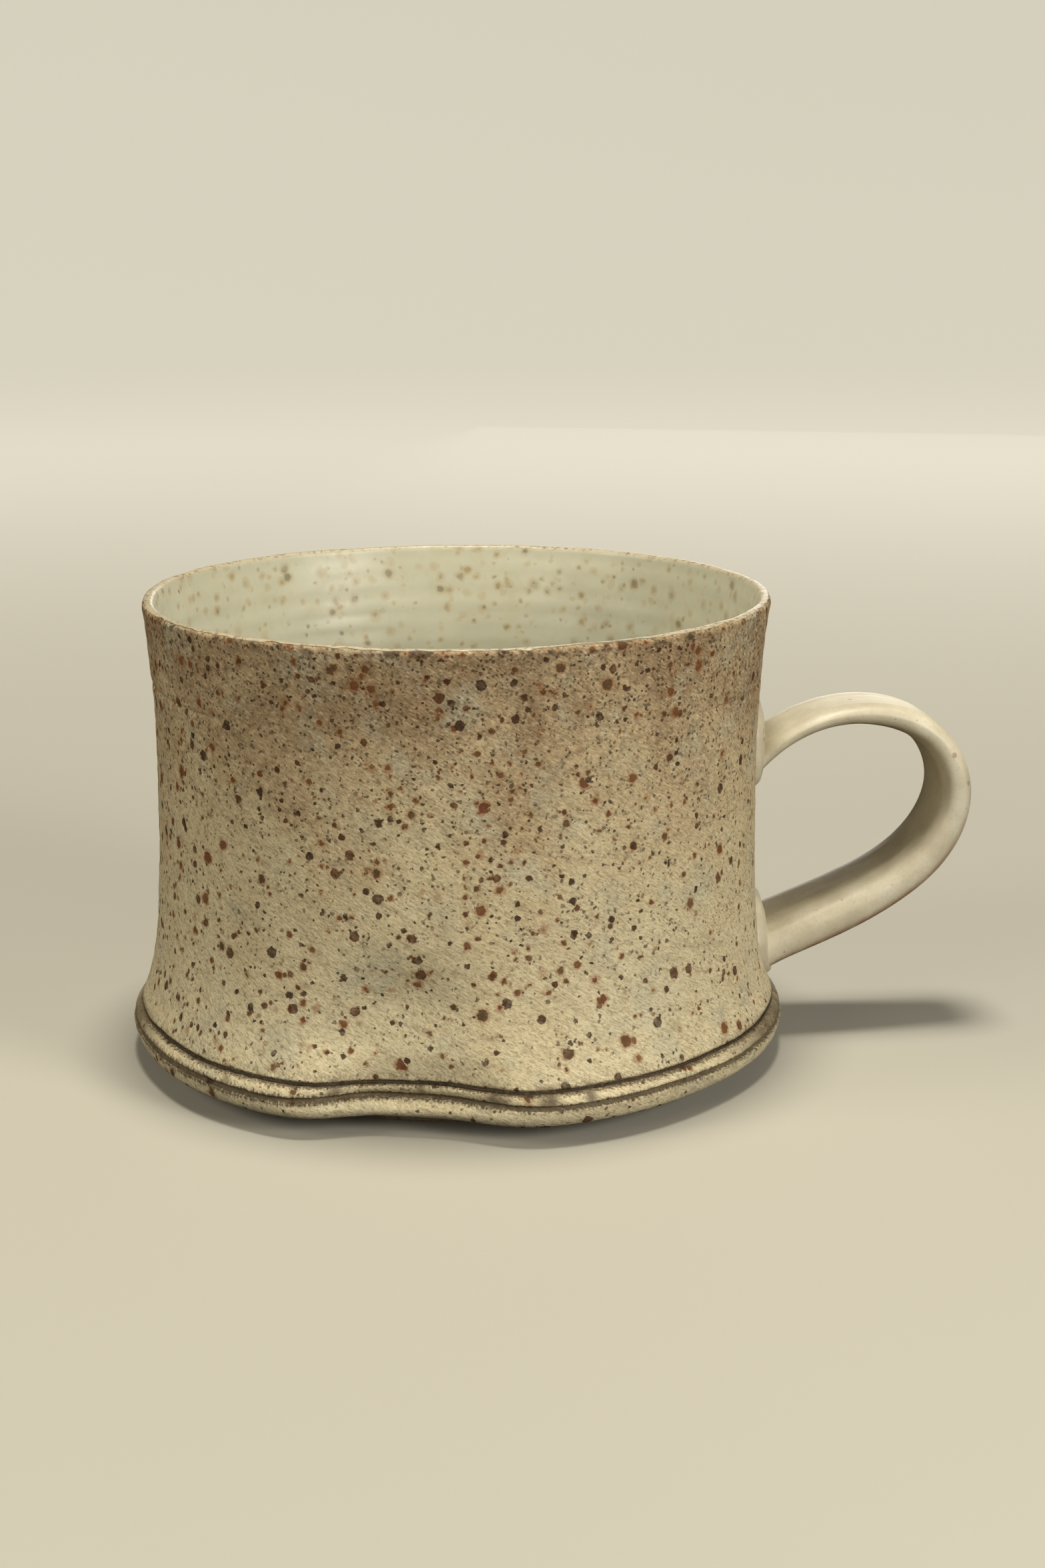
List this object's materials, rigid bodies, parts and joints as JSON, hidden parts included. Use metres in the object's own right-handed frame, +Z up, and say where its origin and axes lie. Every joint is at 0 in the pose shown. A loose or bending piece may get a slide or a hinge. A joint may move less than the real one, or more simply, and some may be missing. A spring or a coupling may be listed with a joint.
{
  "type": "ceramic mug",
  "caption": "Wide handmade stoneware mug with a flared base pressed in at the front, two incised base lines and a pulled strap handle.",
  "frame": {"origin": "centre of the foot ring's flat underside, on the mug's axis, at the level of the surface it stands on", "axes": "+Z up along the mug's axis, +X out through the handle, -Y the front, whose base is pressed in on the side away from the handle"},
  "size_m": [0.1547, 0.12, 0.0834],
  "materials": {
    "speckled_glaze": "dry matte oatmeal glaze with dense dark brown and rust iron speckles, browner towards the lip",
    "liner_glaze": "smooth satin cream glaze with soft grey-green depth and scattered soft speckles",
    "oxide_wash": "dry dark brown iron wash",
    "bare_clay": "unglazed toasted stoneware with fine grog",
    "handle_glaze": "satin cream glaze, few speckles, breaking tan on the edges"
  },
  "bodies": {
    "root": {"mug_body": "speckled_glaze", "liner_glaze": "liner_glaze", "lower_groove_wash": "oxide_wash", "upper_groove_wash": "oxide_wash", "foot_ring": "bare_clay", "handle_strap": "handle_glaze", "upper_handle_joint": "handle_glaze", "lower_handle_joint": "handle_glaze"}
  },
  "joints": []
}
